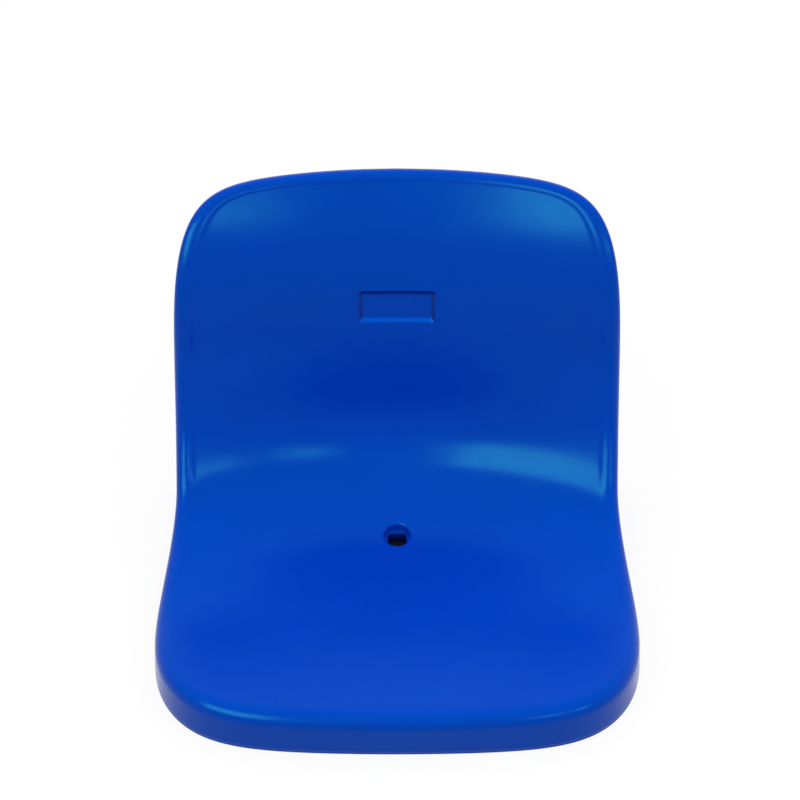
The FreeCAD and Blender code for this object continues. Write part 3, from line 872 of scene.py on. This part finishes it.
def paint_recess_shading(mesh):
    # Two layers: painted shade on the upper and side walls of the plate recess and
    # on a strip of its floor below the upper wall, and painted light on its lower wall.
    flat = np.empty(3 * len(mesh.vertices), dtype=np.float32)
    mesh.vertices.foreach_get("co", flat)
    origin, along, out = plate_frame()
    off = MM_PER_METRE * flat.reshape(-1, 3).astype(np.float64) - origin
    v = off @ along
    qx, qs = past_plate(off[:, 0], v)
    past = np.maximum(qx, qs)
    floor_part = np.where((v > 0.0) & (qs > qx), PAINTED_SHADE_REACH, PAINTED_LIGHT_REACH)
    band = smooth((PLATE_DRAFT + WALL_OVERLAP - past) / LAYER_FADE)
    band *= smooth((past + floor_part) / LAYER_FADE)
    band *= np.abs(off @ out) < LAYER_NEAR
    low = np.where(v > 0.0, 0.0, smooth(qs - qx + 0.5))
    for name, share in (("painted_shade", 1.0 - low), ("painted_light", low)):
        layer = mesh.attributes.new(name, "FLOAT", "POINT")
        layer.data.foreach_set("value", (band * share).astype(np.float32))


SCUFF_MOST = 0.22
WAVE_METRES = 0.00012
GRAIN_METRES = 0.000012
TURNED_METRES = 0.00002


def moulded_plastic(name, color, pale, rough, level):
    # Dyed plastic with a faint mould grain, slow waves, scuffs, edges rubbed
    # paler, and painted shade and painted light in the plate recess.
    mat, tree, bsdf = node_tree(name)
    place = tree.nodes.new("ShaderNodeTexCoord").outputs["Object"]
    dye = remap(tree, noise(tree, place, 16.0, 2.0), 0.3, 0.7, 0.0, 1.0)
    darker = tuple(0.95 * c for c in color)
    shade = blend(tree, dye, darker, color)
    stretch = tree.nodes.new("ShaderNodeMapping")
    stretch.inputs["Scale"].default_value = (9.0, 1.4, 1.4)
    stretch.inputs["Rotation"].default_value = (0.3, 0.2, 0.5)
    tree.links.new(place, stretch.inputs["Vector"])
    scuff = remap(tree, noise(tree, stretch.outputs["Vector"], 60.0, 4.0), 0.62, 0.8,
                  0.0, SCUFF_MOST)
    shade = blend(tree, scuff, shade, pale)
    geometry = tree.nodes.new("ShaderNodeNewGeometry")
    worn = remap(tree, geometry.outputs["Pointiness"], 0.53, 0.62, 0.0, 0.25)
    shade = blend(tree, worn, shade, pale)
    # Painted shade: a darker tone for the recess's upper and side walls. Painted light: a brighter
    # tone for its lower wall.
    painted_shade_tone = (0.0, 0.45 * color[1], 0.6 * color[2])
    painted_light_tone = (0.0, 1.6 * color[1], 1.25 * color[2])
    for layer, tone in (("painted_shade", painted_shade_tone), ("painted_light", painted_light_tone)):
        painted = tree.nodes.new("ShaderNodeAttribute")
        painted.attribute_name = layer
        shade = blend(tree, painted.outputs["Fac"], shade, tone)
    tree.links.new(shade, bsdf.inputs["Base Color"])
    uneven = remap(tree, noise(tree, place, 45.0, 3.0), 0.3, 0.7, rough - 0.03, rough + 0.03)
    rougher = remap(tree, scuff, 0.0, SCUFF_MOST, 0.0, 0.08)
    tree.links.new(math_node(tree, "ADD", uneven, rougher), bsdf.inputs["Roughness"])
    bsdf.inputs["IOR"].default_value = 1.5
    bsdf.inputs["Specular IOR Level"].default_value = level
    bsdf.inputs["Specular Tint"].default_value = (*GLOSS_TINT, 1.0)
    waves = bump(tree, noise(tree, place, 38.0, 1.0), WAVE_METRES)
    grain = bump(tree, noise(tree, place, 1500.0, 2.0), GRAIN_METRES, waves)
    tree.links.new(grain, bsdf.inputs["Normal"])
    return mat


def turned_brass(name):
    # Turned metal, tarnished in patches and bright on its edges.
    mat, tree, bsdf = node_tree(name)
    place = tree.nodes.new("ShaderNodeTexCoord").outputs["Object"]
    tarnish = remap(tree, noise(tree, place, 220.0, 4.0), 0.4, 0.7, 0.0, 0.8)
    shade = blend(tree, tarnish, BRASS, BRASS_TARNISHED)
    geometry = tree.nodes.new("ShaderNodeNewGeometry")
    worn = remap(tree, geometry.outputs["Pointiness"], 0.52, 0.6, 0.0, 0.6)
    shade = blend(tree, worn, shade, BRASS_WORN)
    tree.links.new(shade, bsdf.inputs["Base Color"])
    tree.links.new(remap(tree, noise(tree, place, 400.0, 3.0), 0.3, 0.7, 0.24, 0.42),
                   bsdf.inputs["Roughness"])
    bsdf.inputs["Metallic"].default_value = 1.0
    turned = bump(tree, noise(tree, place, 2500.0, 2.0), TURNED_METRES)
    tree.links.new(turned, bsdf.inputs["Normal"])
    return mat


GLOSS_TINT = (0.05, 0.8, 0.85)
SHELL_BLUE = (0.0, 0.045, 0.5)
SHELL_PALE = (0.002, 0.065, 0.6)
PLUG_BLUE = (0.002, 0.014, 0.13)
PLUG_PALE = (0.01, 0.03, 0.2)
BRASS = (0.62, 0.43, 0.17)
BRASS_TARNISHED = (0.40, 0.26, 0.10)
BRASS_WORN = (0.80, 0.62, 0.32)

paint_recess_shading(body.data)
body.data.materials.append(
    moulded_plastic("shell_plastic", SHELL_BLUE, SHELL_PALE, rough=0.2, level=0.29))
brass = turned_brass("insert_brass")
for piece in inserts:
    piece.data.materials.append(brass)
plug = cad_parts["blow_hole_plug"]
plug.data.materials.clear()
plug.data.materials.append(
    moulded_plastic("plug_plastic", PLUG_BLUE, PLUG_PALE, rough=0.5, level=0.4))

# Camera at the photograph's angle, in metres and pixels. TARGET is a point of
# the seat, and TARGET_PIXEL is where it lies in the picture.
CAMERA_HEIGHT_ANGLE = math.radians(50.0)
CAMERA_DISTANCE = 4.0
FOCAL_PIXELS = 4524.0
PICTURE_PIXELS = 800.0
TARGET = Vector((0.0, (197.0 + Y_SHIFT) / MM_PER_METRE, 0.114))
TARGET_PIXEL = (397.1, 494.47)
SENSOR_MM = 36.0


def place_camera():
    # Turned so that the target falls on its pixel and no shift is needed.
    data = bpy.data.cameras.new("camera")
    data.sensor_width = SENSOR_MM
    data.lens = SENSOR_MM * FOCAL_PIXELS / PICTURE_PIXELS
    data.clip_end = 100.0
    cam = bpy.data.objects.new("camera", data)
    bpy.context.scene.collection.objects.link(cam)
    high = math.sin(CAMERA_HEIGHT_ANGLE)
    level = math.cos(CAMERA_HEIGHT_ANGLE)
    right = Vector((1.0, 0.0, 0.0))
    upward = Vector((0.0, high, level))
    pixel = CAMERA_DISTANCE / FOCAL_PIXELS
    aim = TARGET + right * (PICTURE_PIXELS / 2.0 - TARGET_PIXEL[0]) * pixel
    aim += upward * (TARGET_PIXEL[1] - PICTURE_PIXELS / 2.0) * pixel
    cam.location = TARGET - Vector((0.0, level, -high)) * CAMERA_DISTANCE
    cam.rotation_euler = (aim - cam.location).to_track_quat("-Z", "Y").to_euler()
    bpy.context.scene.camera = cam


place_camera()

# White floor, in metres. Its own light shows to the camera and in
# reflections, and its lit part keeps the seat's shadow. It throws only a
# little light up on to the seat. Under the drain it has a patch of painted
# shade, dark so that the hole shows black.
FLOOR_SIZE = 6.0
FLOOR_SHARE = 0.87
FLOOR_PALE = (0.26, 0.26, 0.26)
FLOOR_SEEN = (0.93, 0.93, 0.93)
# Painted shade: a dark floor colour in a patch under the drain, placed by the half sizes and
# middle below.
FLOOR_PAINTED_SHADE = (0.05, 0.045, 0.05)
UNDER_X = 0.12
UNDER_Y = 0.09
UNDER_MIDDLE_Y = -0.04


def seen_rays(tree):
    # One for rays from the camera and in gloss and glass, else zero.
    path = tree.nodes.new("ShaderNodeLightPath")
    seen = math_node(tree, "MAXIMUM", path.outputs["Is Camera Ray"], path.outputs["Is Glossy Ray"])
    return math_node(tree, "MAXIMUM", seen, path.outputs["Is Transmission Ray"])


def beyond(tree, value, middle_at, half):
    # How far a coordinate lies past a band around its middle.
    off = math_node(tree, "ABSOLUTE", math_node(tree, "SUBTRACT", value, middle_at), 0.0)
    return math_node(tree, "SUBTRACT", off, half)


def floor_material():
    mat = bpy.data.materials.new("floor_white")
    mat.use_nodes = True
    tree = mat.node_tree
    tree.nodes.clear()
    lit = tree.nodes.new("ShaderNodeBsdfDiffuse")
    glow = tree.nodes.new("ShaderNodeEmission")
    glow.inputs["Color"].default_value = (1.0, 1.0, 1.0, 1.0)
    glow.inputs["Strength"].default_value = 1.0
    seen = seen_rays(tree)
    split = tree.nodes.new("ShaderNodeSeparateXYZ")
    tree.links.new(tree.nodes.new("ShaderNodeTexCoord").outputs["Object"], split.inputs[0])
    off_x = beyond(tree, split.outputs["X"], 0.0, UNDER_X)
    off_y = beyond(tree, split.outputs["Y"], UNDER_MIDDLE_Y, UNDER_Y)
    outside = math_node(tree, "GREATER_THAN", math_node(tree, "MAXIMUM", off_x, off_y), 0.0)
    share = math_node(tree, "MULTIPLY", math_node(tree, "MULTIPLY", seen, outside), FLOOR_SHARE)
    pale = blend(tree, seen, FLOOR_PALE, FLOOR_SEEN)
    # Painted shade: the dark colour inside the patch under the drain.
    tree.links.new(blend(tree, outside, FLOOR_PAINTED_SHADE, pale), lit.inputs["Color"])
    mix = tree.nodes.new("ShaderNodeMixShader")
    tree.links.new(share, mix.inputs["Fac"])
    tree.links.new(lit.outputs[0], mix.inputs[1])
    tree.links.new(glow.outputs[0], mix.inputs[2])
    out = tree.nodes.new("ShaderNodeOutputMaterial")
    tree.links.new(mix.outputs[0], out.inputs["Surface"])
    return mat


def lay_floor():
    data = bpy.data.meshes.new("floor")
    corners = [(-FLOOR_SIZE, -FLOOR_SIZE, 0), (FLOOR_SIZE, -FLOOR_SIZE, 0),
               (FLOOR_SIZE, FLOOR_SIZE, 0), (-FLOOR_SIZE, FLOOR_SIZE, 0)]
    data.from_pydata(corners, [], [(0, 1, 2, 3)])
    data.materials.append(floor_material())
    floor = bpy.data.objects.new("floor", data)
    bpy.context.scene.collection.objects.link(floor)
    return floor


floor = lay_floor()

# Soft surroundings. Their light on the seat grows with height, and they show
# as white to the camera and in reflections. START and FULL are heights of a
# direction, from -1 straight down to 1 straight up.
WORLD_HIGH = 1.34
WORLD_START = -0.25
WORLD_FULL = 0.75


def studio_world():
    world = bpy.data.worlds.new("studio")
    world.use_nodes = True
    tree = world.node_tree
    split = tree.nodes.new("ShaderNodeSeparateXYZ")
    tree.links.new(tree.nodes.new("ShaderNodeTexCoord").outputs["Generated"], split.inputs[0])
    rise = tree.nodes.new("ShaderNodeMapRange")
    rise.interpolation_type = "SMOOTHSTEP"
    rise.inputs["From Min"].default_value = WORLD_START
    rise.inputs["From Max"].default_value = WORLD_FULL
    rise.inputs["To Min"].default_value = 0.0
    rise.inputs["To Max"].default_value = WORLD_HIGH
    tree.links.new(split.outputs["Z"], rise.inputs["Value"])
    strength = tree.nodes.new("ShaderNodeMix")
    tree.links.new(seen_rays(tree), strength.inputs["Factor"])
    tree.links.new(rise.outputs["Result"], strength.inputs["A"])
    strength.inputs["B"].default_value = 1.0
    back = tree.nodes["Background"]
    back.inputs["Color"].default_value = (1.0, 1.0, 1.0, 1.0)
    tree.links.new(strength.outputs["Result"], back.inputs["Strength"])
    return world


bpy.context.scene.world = studio_world()

# Softboxes, which only reflections show. Angles are degrees: the compass
# direction from +Y towards +X, the height, and the size as the seat sees it.
LAMP_WARM = (1.0, 0.74, 0.5)
LAMP_DISTANCE = 2.5
LAMP_AIM = Vector((0.0, 0.08, 0.1))


def softbox(name, azimuth, elevation, wide, tall, radiance):
    az, el = math.radians(azimuth), math.radians(elevation)
    toward = Vector((math.cos(el) * math.sin(az), math.cos(el) * math.cos(az), math.sin(el)))
    data = bpy.data.lights.new(name, "AREA")
    data.shape = "RECTANGLE"
    data.size = 2.0 * LAMP_DISTANCE * math.tan(math.radians(wide / 2.0))
    data.size_y = 2.0 * LAMP_DISTANCE * math.tan(math.radians(tall / 2.0))
    data.energy = radiance * math.pi * data.size * data.size_y
    data.color = LAMP_WARM
    obj = bpy.data.objects.new(name, data)
    obj.location = LAMP_AIM + toward * LAMP_DISTANCE
    obj.rotation_euler = (-toward).to_track_quat("-Z", "Y").to_euler()
    obj.visible_diffuse = False
    bpy.context.scene.collection.objects.link(obj)


softbox("key", -148.5, 27.0, 31.0, 25.0, radiance=9.5)
softbox("key_edge", -166.0, 20.5, 8.0, 9.0, radiance=3.2)
softbox("fill", 140.0, 20.0, 10.0, 10.0, radiance=7.6)
softbox("fill_edge", 160.0, 22.0, 9.0, 9.0, radiance=8.0)

bpy.context.scene.view_settings.view_transform = "Standard"
